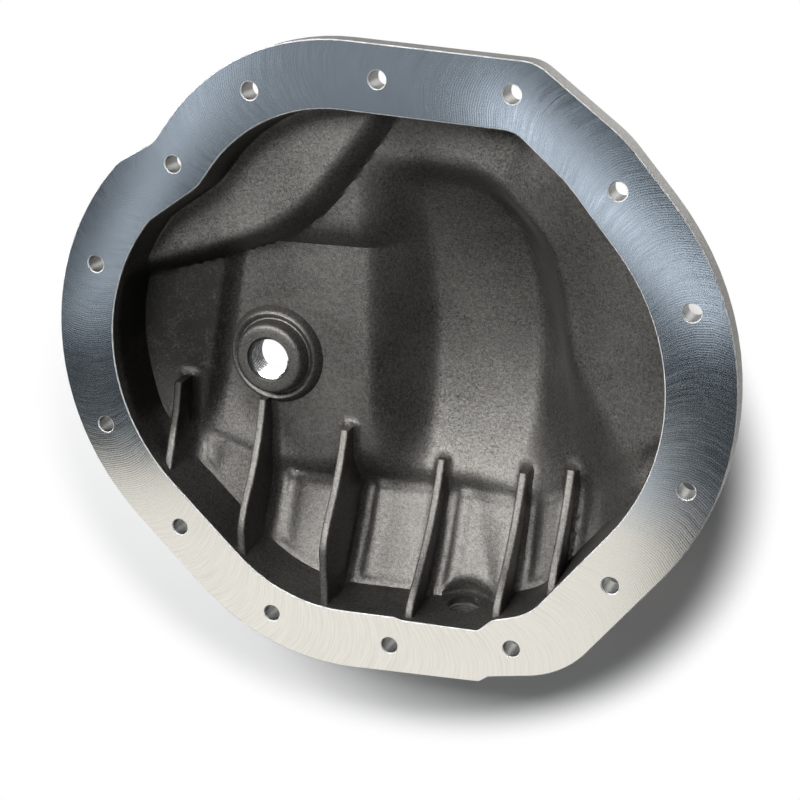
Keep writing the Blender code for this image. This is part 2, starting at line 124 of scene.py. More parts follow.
class Bench:
    """Builds one material's nodes."""

    def __init__(self, name: str, tree: bpy.types.NodeTree | None = None) -> None:
        """Start with an empty node tree, of a new material or the one handed in."""
        if tree is None:
            self.material = bpy.data.materials.new(name)
            self.material.use_nodes = True
            tree = self.material.node_tree
        self.tree = tree
        self.tree.nodes.clear()

    def node(
        self,
        kind: str,
        settings: Mapping[str, object] | None = None,
        inputs: Mapping[int | str, object] | None = None,
        output: int | str = 0,
    ) -> Wire:
        """Add a node.

        Args:
            kind: the node's type.
            settings: properties, set first.
            inputs: values or wires by socket index or name.
            output: the socket to hand back.

        Returns:
            The chosen output.
        """
        made = self.tree.nodes.new(kind)
        for name, value in (settings or {}).items():
            setattr(made, name, value)
        for key, value in (inputs or {}).items():
            if isinstance(value, Wire):
                self.tree.links.new(value.socket, made.inputs[key])
            else:
                made.inputs[key].default_value = value
        return Wire(self, made.outputs[output])

    def maths(self, operation: str, *operands: Number) -> Wire:
        """Add a Math node."""
        return self.node("ShaderNodeMath", {"operation": operation}, dict(enumerate(operands)))

    def mix(self, share: Number, first: object, second: object) -> Wire:
        """Mix two colours."""
        return self.node("ShaderNodeMix", {"data_type": "RGBA"}, {0: share, 6: first, 7: second}, 2)

    def split(self, vector: Wire) -> tuple[Wire, Wire, Wire]:
        """The x, y and z of a vector."""
        parts = self.node("ShaderNodeSeparateXYZ", None, {0: vector}).socket.node
        return tuple(Wire(self, parts.outputs[axis]) for axis in range(3))

    def place(self) -> tuple[Wire, Wire, Wire, Wire]:
        """The surface point in object space, as a vector and as x, y and z."""
        vector = self.node("ShaderNodeTexCoord", output="Object")
        return (vector, *self.split(vector))

    def noise(self, vector: Wire, scale: float, detail: float = 2.0, roughness: float = 0.5) -> Wire:
        """Add a noise pattern."""
        inputs = {"Vector": vector, "Scale": scale, "Detail": detail, "Roughness": roughness}
        return self.node("ShaderNodeTexNoise", None, inputs)

    def surface(
        self, colour: Wire, roughness: Wire, metallic: float, bump: Wire | None = None
    ) -> bpy.types.Material:
        """Finish the material with a Principled shader."""
        inputs = {"Base Color": colour, "Roughness": roughness, "Metallic": metallic}
        if bump is not None:
            inputs["Normal"] = bump
        self.finish("ShaderNodeOutputMaterial", self.node("ShaderNodeBsdfPrincipled", None, inputs))
        return self.material

    def bump(self, strength: float, distance: float, height: Wire) -> Wire:
        """Raise the surface by a height pattern."""
        inputs = {"Strength": strength, "Distance": distance, "Height": height}
        return self.node("ShaderNodeBump", None, inputs)

    def finish(self, kind: str, shader: Wire) -> None:
        """Link a shader to an output node of the kind given."""
        output = self.tree.nodes.new(kind)
        self.tree.links.new(shader.socket, output.inputs["Surface"])


@dataclass(frozen=True)
class CastFinish:
    """As-cast aluminium: dark, warm grey and evenly grained, with painted shade that darkens the raised
    zone at the bowl's left.
    """

    dark: tuple[float, float, float, float] = (0.052, 0.050, 0.045, 1.0)
    light: tuple[float, float, float, float] = (0.300, 0.290, 0.272, 1.0)
    roughness: float = 0.50
    metallic: float = 0.95
    grain_scale: float = 1500.0
    pit_scale: float = 620.0
    cloud_scale: float = 28.0
    mottle_scale: float = 130.0
    grain_weight: float = 1.1
    pit_weight: float = 0.5
    cloud_weight: float = 0.4
    mottle_weight: float = 0.5
    # How far the painted shade darkens the raised zone at the bowl's left.
    shade_paint_depth: float = 0.42
    grain_relief: float = 0.55
    pit_relief: float = 0.45
    grain_roughness: float = 0.35
    cloud_roughness: float = 0.2
    bump_strength: float = 0.48
    bump_distance: float = 0.00066

    def build(self) -> bpy.types.Material:
        """Build the material."""
        bench = Bench("cast_aluminium_grain")
        vector = bench.place()[0]
        grain = bench.noise(vector, self.grain_scale, 3.0, 0.65)
        pits = bench.noise(vector, self.pit_scale, 2.0, 0.55)
        clouds = bench.noise(vector, self.cloud_scale, 3.0)
        tone = (grain - 0.5) * self.grain_weight + (pits - 0.5) * self.pit_weight
        tone = tone + (clouds - 0.5) * self.cloud_weight + 0.5
        # Painted shade: a mesh share darkens the raised zone at the bowl's left, mottled by noise.
        shade_share = bench.node("ShaderNodeAttribute", {"attribute_name": "left_zone_painted_shade"}, output="Fac")
        mottle = (bench.noise(vector, self.mottle_scale, 3.0, 0.6) - 0.5) * self.mottle_weight
        tone = tone - shade_share * (mottle + self.shade_paint_depth)
        colour = bench.mix(tone.band(0.05, 0.95), self.dark, self.light)
        roughness = (grain - 0.5) * self.grain_roughness + (clouds - 0.5) * self.cloud_roughness
        roughness = roughness + self.roughness
        height = grain * self.grain_relief + pits * self.pit_relief
        bump = bench.bump(self.bump_strength, self.bump_distance, height)
        return bench.surface(colour, roughness, self.metallic, bump)


@dataclass(frozen=True)
class MilledFinish:
    """Face-milled aluminium with fine arc marks left by the cutter; its colour carries a painted
    reflection, cool blue-grey above a height and warm cream below it.
    """

    # Painted reflection: cool blue-grey for the upper face and warm cream for the lower face, switched by
    # height.
    cool: tuple[float, float, float, float] = (0.60, 0.67, 0.74, 1.0)
    warm: tuple[float, float, float, float] = (0.84, 0.82, 0.77, 1.0)
    dull: tuple[float, float, float, float] = (0.30, 0.31, 0.33, 1.0)
    painted_reflection_split: float = -0.055
    painted_reflection_span: float = 0.040
    roughness: float = 0.15
    feed: float = 0.0012
    streaks_along: float = 1100.0
    streaks_across: float = 45.0
    patch_scale: float = 24.0
    mark_weight: float = 0.35
    dullness: float = 0.35
    painted_reflection_waver: float = 0.02
    streak_shade: float = 1.3
    patch_shade: float = 0.3
    plain_shade: float = 0.62
    streak_roughness: float = 0.16
    patch_roughness: float = 0.05
    bump_strength: float = 0.16
    bump_distance: float = 0.00003

    def build(self) -> bpy.types.Material:
        """Build the material."""
        bench = Bench("milled_aluminium_arcs")
        vector, _, _, z = bench.place()
        along, across, _ = bench.split(bench.node("ShaderNodeUVMap", {"uv_map": "milling"}))
        steps = {0: along * self.streaks_along, 1: across * self.streaks_across}
        streaks = bench.noise(bench.node("ShaderNodeCombineXYZ", None, steps), 1.0, 3.0, 0.6)
        patches = bench.noise(vector, self.patch_scale, 2.0, 0.5)
        marks = (along * (math.tau / self.feed)).maths("SINE")
        bump = bench.bump(self.bump_strength, self.bump_distance, marks * self.mark_weight + streaks)
        # Painted reflection: the face turns from cool to warm cream below a wavering height.
        low = self.painted_reflection_split - self.painted_reflection_span / 2.0
        below = 1.0 - (z + (patches - 0.5) * self.painted_reflection_waver).band(low, low + self.painted_reflection_span)
        colour = bench.mix(below, self.cool, self.warm)
        shade = (streaks - 0.5) * self.streak_shade + (patches - 0.5) * self.patch_shade
        shade = (shade + self.plain_shade).band(0.0, 1.0)
        tinted = bench.mix(shade, bench.mix(self.dullness, colour, self.dull), colour)
        roughness = (streaks - 0.5) * self.streak_roughness + (patches - 0.5) * self.patch_roughness
        return bench.surface(tinted, roughness + self.roughness, 1.0, bump)


@dataclass(frozen=True)
class EdgeFinish:
    """Chamfered edges along the milled face and round the bolt holes, coloured with a painted highlight:
    near-white, barely metallic, dimmer in random patches.
    """

    # Painted highlight: a near-white tone and a dimmer grey in random patches stand in for light caught on
    # the edges.
    tone: tuple[float, float, float, float] = (0.92, 0.92, 0.91, 1.0)
    dim_painted_highlight: tuple[float, float, float, float] = (0.62, 0.62, 0.61, 1.0)
    roughness: float = 0.42
    metallic: float = 0.15
    highlight_patch_scale: float = 260.0

    def build(self) -> bpy.types.Material:
        """Build the material."""
        bench = Bench("edge_painted_highlight")
        highlight_patches = bench.noise(bench.place()[0], self.highlight_patch_scale, 3.0, 0.6)
        colour = bench.mix(highlight_patches.band(0.35, 0.60), self.dim_painted_highlight, self.tone)
        return bench.surface(colour, (highlight_patches - 0.5) * 0.2 + self.roughness, self.metallic)


@dataclass(frozen=True)
class CutFinish:
    """Bright drilled and tapped aluminium."""

    name: str
    tone: tuple[float, float, float, float] = (0.74, 0.74, 0.73, 1.0)
    roughness: float = 0.26
    ring_pitch: float = 0.00045
    smear_scale: float = 420.0
    smear_shade: float = 0.72
    bump_strength: float = 0.35
    bump_distance: float = 0.00008

    def build(self) -> bpy.types.Material:
        """Build the material."""
        bench = Bench(self.name)
        vector, _, y, _ = bench.place()
        rings = (y * (math.tau / self.ring_pitch)).maths("SINE")
        smear = bench.noise(vector, self.smear_scale, 3.0, 0.6)
        shaded = (*(self.smear_shade * part for part in self.tone[:3]), 1.0)
        colour = bench.mix(smear.band(0.3, 0.7), shaded, self.tone)
        bump = bench.bump(self.bump_strength, self.bump_distance, rings * 0.4 + smear)
        return bench.surface(colour, (smear - 0.5) * 0.25 + self.roughness, 1.0, bump)


def least(first: np.ndarray, second: np.ndarray, blend: float) -> np.ndarray:
    """The smaller of two depths, rounded where they cross."""
    near = np.maximum(blend - np.abs(first - second), 0.0) / blend
    return np.minimum(first, second) - near ** 2 * blend / 4.0


def most(first: np.ndarray, second: np.ndarray, blend: float) -> np.ndarray:
    """The larger of two depths, rounded where they cross."""
    return -least(-first, -second, blend)


def ease(share: np.ndarray) -> np.ndarray:
    """A soft step from 0 to 1."""
    share = np.clip(share, 0.0, 1.0)
    return share * share * (3.0 - 2.0 * share)


def roll(share: np.ndarray) -> np.ndarray:
    """A step from 0 to 1 that starts steep and ends level."""
    return 1.0 - (1.0 - np.clip(share, 0.0, 1.0)) ** 2


def ramp(length: np.ndarray, blend: float) -> np.ndarray:
    """The positive part of a length, softened at zero."""
    return most(length, np.zeros_like(length), blend)


@dataclass
class Outline:
    """A closed outline in the plane of the gasket face, made of rounded corners."""

    corners: tuple[Corner, ...]
    arc_step: float = math.radians(4.0)
    points: np.ndarray = field(init=False)

    def __post_init__(self) -> None:
        """Round the corners."""
        points: list[np.ndarray] = []
        for index in range(len(self.corners)):
            points.extend(self.rounded(index))
        self.points = np.array(points)

    def rounded(self, index: int) -> list[np.ndarray]:
        """Points of one corner's arc.

        Args:
            index: which corner.

        Returns:
            The arc's points in order.
        """
        x, z, radius = self.corners[index]
        here = np.array((x, z))
        back = np.array(self.corners[index - 1][:2]) - here
        ahead = np.array(self.corners[(index + 1) % len(self.corners)][:2]) - here
        lengths = np.linalg.norm(back), np.linalg.norm(ahead)
        back, ahead = back / lengths[0], ahead / lengths[1]
        half = 0.5 * math.acos(max(-1.0, min(1.0, float(back @ ahead))))
        cut = min(radius / math.tan(half), 0.98 * lengths[0], 0.98 * lengths[1])
        fitted = cut * math.tan(half)
        middle = here + (back + ahead) / np.linalg.norm(back + ahead) * fitted / math.sin(half)
        sweep = math.pi - 2.0 * half
        steps = max(1, math.ceil(sweep / self.arc_step))
        turn = 1.0 if back[0] * ahead[1] - back[1] * ahead[0] < 0.0 else -1.0
        arm = here + back * cut - middle
        made = []
        for step in range(steps + 1):
            angle = turn * sweep * step / steps
            cosine, sine = math.cos(angle), math.sin(angle)
            made.append(middle + (cosine * arm[0] - sine * arm[1], sine * arm[0] + cosine * arm[1]))
        return made

    def reach(self, angles: np.ndarray) -> np.ndarray:
        """Distance from the origin to the outline along each angle."""
        return radial_reach(self.points, angles)


def radial_reach(points: np.ndarray, angles: np.ndarray) -> np.ndarray:
    """Distance from the origin to a closed chain of points along each angle.

    Args:
        points: the chain, as x and z.
        angles: directions, in radians.

    Returns:
        The distances.
    """
    step = np.roll(points, -1, axis=0) - points
    found = np.zeros(len(angles))
    for index, angle in enumerate(angles):
        ray = np.array((math.cos(angle), math.sin(angle)))
        across = ray[0] * step[:, 1] - ray[1] * step[:, 0]
        across = np.where(np.abs(across) < 1e-12, 1e-12, across)
        share = (points[:, 1] * ray[0] - points[:, 0] * ray[1]) / -across
        length = (points[:, 0] * step[:, 1] - points[:, 1] * step[:, 0]) / across
        valid = (share > -1e-9) & (share < 1.0 + 1e-9) & (length > 0.0)
        found[index] = length[valid].max()
    return found


@dataclass
class Fin:
    """One fin: place, crest radius about the axle's centre line, and height of its top."""

    x: float
    crest_radius: float
    top: float


@dataclass
class BowlForm:
    """Depth of the bowl's inner surface behind each point of the gasket plane."""

    opening: Outline
    fins: tuple[Fin, ...]
    axle_standoff: float = 0.0820
    wall_steepness: float = 14.0
    wall_fillet: float = 0.0060
    floor_depth: float = 0.0460
    skirt_slope: float = 0.72
    skirt_slope_gear: float = 0.42
    skirt_start_sump: float = 0.0230
    skirt_start_gear: float = 0.0045
    skirt_start_shelf: float = 0.0290
    gear_turn: tuple[float, float] = (0.8, 0.6)
    gear_turn_reach: float = 0.0580
    gear_turn_span: float = 0.0500
    shelf_turn: tuple[float, float] = (-0.6, 0.8)
    shelf_turn_reach: float = 0.0500
    shelf_turn_span: float = 0.0500
    top_crease_height: float = 0.0510
    top_step: float = 0.0085
    top_flank: float = 0.0160
    top_slope: float = 0.05
    left_crease_x: float = -0.0970
    left_crease_lean: float = 0.195
    left_step: float = 0.0075
    left_flank: float = 0.0110
    left_slope: float = 0.06
    shelf_depth: float = 0.0220
    shelf_tilt: float = 0.08
    shelf_flank: float = 0.0125
    shelf_corner: tuple[float, float] = (-0.0490, 0.0570)
    shelf_corner_blend: float = 0.0200
    shelf_lower_angle: float = 16.0
    shelf_side_angle: float = 51.4
    pocket_radius: float = 0.1560
    pocket_wall: float = 0.0340
    pocket_left_x: float = -0.0250
    pocket_right_x: float = 0.0940
    pocket_right_radius: float = 0.2940
    pocket_top_z: float = 0.1060
    pocket_top_wall: float = 0.0180
    pocket_corner_reach: float = 0.1110
    pocket_corner_angle: float = 54.0
    pocket_blend: float = 0.0240
    sump_line_z: float = -0.0810
    sump_line_left_x: float = -0.0640
    sump_line_left_rise: float = 0.48
    sump_line_right_x: float = 0.0690
    sump_line_right_rise: float = 0.80
    sump_line_blend: float = 0.0200
    sump_roof_slope: float = 2.00
    sump_roof_blend: float = 0.0160
    soft_blend: float = 0.0090
    tight_blend: float = 0.0060
    drain_x: float = 0.0366
    drain_y: float = 0.0240
    scoop_radius: float = 0.01375
    scoop_top: float = -0.1020
    scoop_slope: float = 2.0
    fin_thickness: float = 0.0046
    fin_crest_min_depth: float = 0.0030
    fin_crest_blend: float = 0.0120
    fin_fillet: float = 0.0045
    pad_rise: float = 0.0019
    pad_start: float = 0.0085
    pad_end: float = 0.0051
    pad_flank: float = 0.0030
    pad_lip: float = 0.0060
    pad_lip_flank: float = 0.0040
    pad_lip_share: float = 0.4
    last_pad_width: float = 0.0550
    fillet_share: float = 0.85

    def inset(self, x: np.ndarray, z: np.ndarray) -> np.ndarray:
        """How far a point lies inside the opening's edge, negative outside it."""
        points = np.stack((x, z), axis=-1)[..., None, :]
        chain = self.opening.points
        step = np.roll(chain, -1, axis=0) - chain
        share = ((points - chain) * step).sum(-1) / np.maximum((step ** 2).sum(-1), 1e-18)
        nearest = chain + np.clip(share, 0.0, 1.0)[..., None] * step
        distance = np.sqrt(((points - nearest) ** 2).sum(-1)).min(-1)
        edge = self.opening.reach(np.arctan2(z, x).ravel()).reshape(np.shape(x))
        return np.where(np.hypot(x, z) < edge, distance, -distance)

    def turned(self, radius: float, z: np.ndarray) -> np.ndarray:
        """Depth of a cylinder about the axle's centre line."""
        return np.sqrt(np.maximum(radius ** 2 - z ** 2, 0.0)) - self.axle_standoff

    def crest(self, fin: Fin, z: np.ndarray) -> np.ndarray:
        """Depth of a fin's crest."""
        lowest = np.full_like(z, self.fin_crest_min_depth)
        return most(self.turned(fin.crest_radius, z), lowest, self.fin_crest_blend)

    def skirt(self, x: np.ndarray, z: np.ndarray, edge: np.ndarray) -> np.ndarray:
        """The wall's sloping foot, deep at the sump and shallow beside the gear."""
        gear = self.gear_turn[0] * x + self.gear_turn[1] * z - self.gear_turn_reach
        gear = ease(gear / self.gear_turn_span + 0.5)
        shelf = self.shelf_turn[0] * x + self.shelf_turn[1] * z - self.shelf_turn_reach
        shelf = ease(shelf / self.shelf_turn_span + 0.5)
        start = self.skirt_start_sump + (self.skirt_start_gear - self.skirt_start_sump) * gear
        slope = self.skirt_slope + (self.skirt_slope_gear - self.skirt_slope) * gear
        return start + (self.skirt_start_shelf - start) * shelf + slope * edge

    def shelf_inset(self, x: np.ndarray, z: np.ndarray) -> np.ndarray:
        """How far a point lies on the raised shelf at the upper left."""
        lower, side = math.radians(self.shelf_lower_angle), math.radians(self.shelf_side_angle)
        across, up = x - self.shelf_corner[0], z - self.shelf_corner[1]
        above = up * math.cos(lower) - across * math.sin(lower)
        beside = up * math.cos(side) - across * math.sin(side)
        return least(above, beside, self.shelf_corner_blend)

    def middle_floor(self, x: np.ndarray, z: np.ndarray, edge: np.ndarray) -> np.ndarray:
        """Depth of the middle with the top, left and shelf zones that rise from it."""
        above = z - self.top_crease_height
        top_rise = self.top_step * roll(above / self.top_flank)
        top_rise = top_rise + self.top_slope * ramp(above, self.tight_blend)
        beyond = self.left_crease_x + self.left_crease_lean * z - x
        left_rise = self.left_step * ease(beyond / self.left_flank)
        left_rise = left_rise + self.left_slope * ramp(beyond, self.tight_blend)
        depth = self.floor_depth - np.hypot(top_rise, left_rise)
        on_shelf = self.shelf_inset(x, z)
        shelf = self.shelf_depth + self.shelf_tilt * on_shelf
        depth = depth + np.minimum(shelf - depth, 0.0) * roll(on_shelf / self.shelf_flank)
        return least(depth, self.skirt(x, z, edge), self.soft_blend)

    def left_painted_shade(self, x: np.ndarray, z: np.ndarray) -> np.ndarray:
        """Share of painted shade: 1 on the raised zone at the left, 0 elsewhere."""
        beyond = self.left_crease_x + self.left_crease_lean * z - x
        shelf = ease(self.shelf_inset(x, z) / self.shelf_flank)
        return ease(beyond / self.left_flank) * (1.0 - shelf) * ease((z - self.ledge(x)) / self.left_flank)

    def pocket_inset(self, x: np.ndarray, z: np.ndarray) -> np.ndarray:
        """How far a point lies inside the rim of the ring gear's pocket, in wall widths."""
        corner = math.radians(self.pocket_corner_angle)
        right = self.pocket_right_x - z ** 2 / (2.0 * self.pocket_right_radius)
        beside = least(x - self.pocket_left_x, right - x, self.pocket_blend)
        diagonal = self.pocket_corner_reach - x * math.cos(corner) - z * math.sin(corner)
        below = least(self.pocket_top_z - z, diagonal, self.pocket_top_wall)
        share = self.pocket_blend / self.pocket_wall
        return least(beside / self.pocket_wall, below / self.pocket_top_wall, share)

    def ledge(self, x: np.ndarray) -> np.ndarray:
        """Height of the ledge at the top of the sump's panels."""
        left = self.sump_line_left_rise * ramp(self.sump_line_left_x - x, self.sump_line_blend)
        right = self.sump_line_right_rise * ramp(x - self.sump_line_right_x, self.sump_line_blend)
        return self.sump_line_z + left + right

    def sump(self, x: np.ndarray, z: np.ndarray, edge: np.ndarray) -> np.ndarray:
        """Depth of the sump, whose roof leans back above the ledge."""
        roof = self.sump_roof_slope * ramp(z - self.ledge(x), self.tight_blend)
        return self.skirt(x, z, edge) - roof

    def scoop(self, x: np.ndarray, z: np.ndarray) -> np.ndarray:
        """Depth of the hollow over the drain hole."""
        across = np.clip((x - self.drain_x) / self.scoop_radius, -1.0, 1.0)
        depth = self.drain_y + self.scoop_radius * np.sqrt(1.0 - across ** 2)
        return depth - self.scoop_slope * ramp(z - self.scoop_top + self.scoop_radius, self.scoop_radius)

    def plain(self, x: np.ndarray, z: np.ndarray) -> np.ndarray:
        """Depth without fins' fillets and pads, as the solid has it."""
        edge = self.inset(x, z)
        depth = self.middle_floor(x, z, edge)
        gear = np.maximum(self.turned(self.pocket_radius, z) - depth, 0.0)
        depth = depth + gear * ease(self.pocket_inset(x, z))
        depth = most(depth, self.sump(x, z, edge), self.sump_roof_blend)
        depth = most(depth, self.scoop(x, z), self.tight_blend)
        return least(depth, self.wall_steepness * edge, self.wall_fillet)

    def pads(self, x: np.ndarray, z: np.ndarray, edge: np.ndarray) -> np.ndarray:
        """Rise of the lightly raised pads between the fins.

        Args:
            x: places across.
            z: heights.
            edge: distance inside the opening's edge.

        Returns:
            The rise above the sump's panels.
        """
        rise = np.zeros_like(x)
        starts = [fin.x for fin in self.fins]
        for start, end in zip(starts, starts[1:] + [starts[-1] + self.last_pad_width]):
            inside = np.minimum(x - start - self.pad_start, end - x - self.pad_end)
            past_lip = ease((x - start - self.pad_start - self.pad_lip) / self.pad_lip_flank)
            rise = np.maximum(rise, ease(inside / self.pad_flank) * (1.0 - self.pad_lip_share * past_lip))
        below_ledge = ease((self.ledge(x) + 0.002 - z) / self.pad_flank)
        above_foot = ease((edge - self.pad_lip_flank) / self.pad_lip_flank)
        return self.pad_rise * rise * below_ledge * above_foot

    def depth(self, x: np.ndarray, z: np.ndarray) -> np.ndarray:
        """Depth with the pads and the fillets along the fins' roots.

        Args:
            x: places across.
            z: heights.

        Returns:
            The depths.
        """
        base = self.plain(x, z)
        edge = self.inset(x, z)
        result = base - self.pads(x, z, edge)
        for fin in self.fins:
            beyond_top = np.maximum(z - fin.top, 0.0)
            aside = np.hypot(np.maximum(np.abs(x - fin.x) - self.fin_thickness / 2.0, 0.0), beyond_top)
            width = np.maximum(self.fin_fillet - aside, 0.0)
            swell = self.fin_fillet - np.sqrt(self.fin_fillet ** 2 - width ** 2)
            height = np.maximum(result - self.crest(fin, np.minimum(z, fin.top)), 0.0)
            result = result - np.minimum(swell, self.fillet_share * height)
        return result


@dataclass
class CoverCasting:
    """The casting: flange, bowl, fins, bosses and holes in one closed mesh."""

    opening_corners: tuple[Corner, ...] = (
        (0.1755, 0.0010, 0.1120),
        (0.0950, 0.1015, 0.0600),
        (0.0705, 0.1235, 0.0150),
        (-0.0590, 0.1325, 0.0825),
        (-0.0920, 0.0880, 0.0300),
        (-0.1205, 0.0690, 0.0200),
        (-0.1848, -0.0050, 0.1040),
        (-0.0560, -0.1330, 0.0800),
        (0.0070, -0.1310, 0.0060),
        (0.0110, -0.1322, 0.0060),
        (0.0525, -0.1312, 0.0040),
        (0.0595, -0.1242, 0.0060),
        (0.0790, -0.1180, 0.0300),
    )
    flange_corners: tuple[Corner, ...] = (
        (0.2200, 0.0050, 0.1465),
        (0.1220, 0.1225, 0.0600),
        (0.0805, 0.1550, 0.0200),
        (-0.0695, 0.1662, 0.1120),
        (-0.1155, 0.1088, 0.0150),
        (-0.1365, 0.0974, 0.0150),
        (-0.2337, 0.0000, 0.1360),
        (-0.0666, -0.1668, 0.1120),
        (0.0530, -0.1601, 0.0030),
        (0.0577, -0.1564, 0.0040),
        (0.0974, -0.1486, 0.0500),
    )
    bolt_holes: tuple[tuple[float, float], ...] = (
        (-0.0615, 0.1363), (0.0041, 0.1442), (0.0694, 0.1401), (0.1192, 0.0989), (0.1547, 0.0455),
        (0.1553, -0.0413), (0.1202, -0.0955), (0.0702, -0.1384), (0.0041, -0.1476), (-0.0626, -0.1399),
        (-0.1145, -0.0974), (-0.1549, -0.0438), (-0.1534, 0.0440), (-0.1052, 0.0984),
    )
    fins: tuple[Fin, ...] = (
        Fin(-0.1225, 0.1070, -0.0240),
        Fin(-0.0803, 0.1230, -0.0340),
        Fin(-0.0334, 0.1270, -0.0460),
        Fin(0.0135, 0.1520, -0.0640),
        Fin(0.0608, 0.1450, -0.0630),
        Fin(0.0893, 0.1310, -0.0535),
    )
    flange_thickness: float = 0.0130
    flange_rear_round: float = 0.0020
    face_chamfer: float = 0.0005
    bolt_hole: float = 0.0087
    bolt_hole_chamfer: float = 0.0005
    wall: float = 0.0060
    rear_fillet: float = 0.0040
    fin_root: float = 0.0030
    fin_round: float = 0.0011
    fill_x: float = -0.0752
    fill_z: float = -0.0108
    fill_bore: float = 0.0225
    fill_boss_rise: float = 0.0106
    fill_boss_base: float = 0.0540
    fill_boss_steps: tuple[tuple[float, float], ...] = (
        (0.0268, 0.0003), (0.0260, 0.0016), (0.0251, 0.0032), (0.0243, 0.0042), (0.0234, 0.0046),
        (0.0225, 0.0044), (0.0216, 0.0037), (0.0208, 0.0032), (0.0202, 0.0034), (0.0199, 0.0046),
        (0.0197, 0.0062), (0.0194, 0.0080), (0.0188, 0.0094), (0.0179, 0.0102), (0.0166, 0.0105),
        (0.0150, 0.0106),
    )
    fill_spot_face: float = 0.0340
    spot_face_cut: float = 0.0005
    drain_bore: float = 0.0172
    drain_boss: float = 0.0290
    drain_boss_length: float = 0.0100
    thread_entry: float = 0.0010
    thread_lift: float = 0.0006
    thread_ends: float = 0.0016
    bore_lip: float = 0.0012
    cutter_radius: float = 0.0300
    station_step: float = math.radians(1.0)
    bowl_grid: float = 0.0019
    back_grid: float = 0.0040
    overrun: float = 0.0050
    lip_steps: tuple[float, ...] = (
        0.0160, 0.0132, 0.0106, 0.0082, 0.0062, 0.0046, 0.0034,
        0.0026, 0.0020, 0.0015, 0.0010, 0.0006, 0.0003,
    )
    rear_steps: tuple[float, ...] = (0.0006, 0.0014, 0.0026, 0.0044, 0.0070, 0.0100, 0.0140, 0.0180)
    wall_probes: tuple[float, ...] = (0.5, 0.85, 1.0)
    tight_radius: float = 0.0100
    smooth_below: float = math.radians(34.0)
    form: BowlForm = field(init=False)
    flange: Outline = field(init=False)

    def __post_init__(self) -> None:
        """Work out the outlines and the bowl."""
        self.form = BowlForm(Outline(self.opening_corners), self.fins)
        self.flange = Outline(self.flange_corners)

    def lower_edge(self, x: float) -> float:
        """Height of the opening's lower edge."""
        spokes = np.linspace(-math.pi, 0.0, 721)
        edge = self.form.opening.reach(spokes)
        return float(np.interp(x, edge * np.cos(spokes), edge * np.sin(spokes)))

    def back(self, x: np.ndarray, z: np.ndarray) -> np.ndarray:
        """Depth of the outside, one wall thickness from the bowl in every direction."""
        depth = self.form.plain(x, z) + self.wall
        for share in self.wall_probes:
            for angle in np.linspace(0.0, math.tau, 12, endpoint=False):
                away_x, away_z = share * self.wall * math.cos(angle), share * self.wall * math.sin(angle)
                near = self.form.plain(x + away_x, z + away_z) + self.wall * math.sqrt(1.0 - share ** 2)
                depth = np.maximum(depth, near)
        return depth

    def stations(self) -> np.ndarray:
        """Angles of the mesh's spokes, with one at each tight corner."""
        even = list(np.arange(0.0, math.tau, self.station_step))
        corners = self.opening_corners + self.flange_corners
        tight = [math.atan2(z, x) % math.tau for x, z, radius in corners if radius < self.tight_radius]
        gap = self.station_step / 3.0
        kept = [angle for angle in even if all(abs(angle - other) > gap for other in tight)]
        return np.array(sorted(kept + tight))

    def rings(self) -> list[np.ndarray]:
        """Rings from inside the bowl, over the flange and round to the back of the bowl."""
        angles = self.stations()
        level = np.ones(len(angles))

        def ring(radii: np.ndarray, depths: np.ndarray) -> np.ndarray:
            """Places of one ring."""
            return np.stack((radii * np.cos(angles), depths, radii * np.sin(angles)), axis=-1)

        opening, flange = self.form.opening.reach(angles), self.flange.reach(angles)
        made = []
        for step in self.lip_steps:
            radii = opening - step
            made.append(ring(radii, self.form.depth(radii * np.cos(angles), radii * np.sin(angles))))
        made.append(ring(opening, self.face_chamfer * level))
        made.append(ring(opening + self.face_chamfer, 0.0 * level))
        for share in (0.25, 0.5, 0.75):
            made.append(ring(opening + share * (flange - opening), 0.0 * level))
        made.append(ring(flange - self.face_chamfer, 0.0 * level))
        made.append(ring(flange, self.face_chamfer * level))
        for turn in np.linspace(0.0, math.pi / 2.0, 5):
            inward = self.flange_rear_round * (1.0 - math.cos(turn))
            back = self.flange_rear_round * (1.0 - math.sin(turn))
            made.append(ring(flange - inward, (self.flange_thickness - back) * level))
        foot = opening + self.wall - self.flange_thickness / self.form.wall_steepness
        for turn in np.linspace(0.0, math.pi / 2.0, 4)[:-1]:
            outward = self.rear_fillet * (1.0 - math.sin(turn))
            back = self.rear_fillet * (1.0 - math.cos(turn))
            made.append(ring(foot + outward, (self.flange_thickness + back) * level))
        floor = self.flange_thickness + self.rear_fillet
        for step in self.rear_steps:
            radii = foot - step
            depths = self.back(radii * np.cos(angles), radii * np.sin(angles))
            made.append(ring(radii, np.maximum(depths, floor)))
        return made

    def loft(self, shape: bmesh.types.BMesh, rings: Sequence[np.ndarray]) -> tuple[list, list]:
        """Join rings of equal count.

        Args:
            shape: mesh to build in.
            rings: places of each ring.

        Returns:
            The first and the last ring's vertices.
        """
        first = bmesh.ops.create_circle(shape, segments=len(rings[0]), radius=1.0)["verts"]
        for vert, place in zip(first, rings[0]):
            vert.co = place
        last = first
        for places in rings[1:]:
            edges = [shape.edges.get((vert, last[index - 1])) for index, vert in enumerate(last)]
            grown = bmesh.ops.extrude_edge_only(shape, edges=edges)
            fresh = {item for item in grown["geom"] if isinstance(item, bmesh.types.BMVert)}
            following = []
            for vert, place in zip(last, places):
                partner = next(e.other_vert(vert) for e in vert.link_edges if e.other_vert(vert) in fresh)
                partner.co = place
                following.append(partner)
            last = following
        return first, last

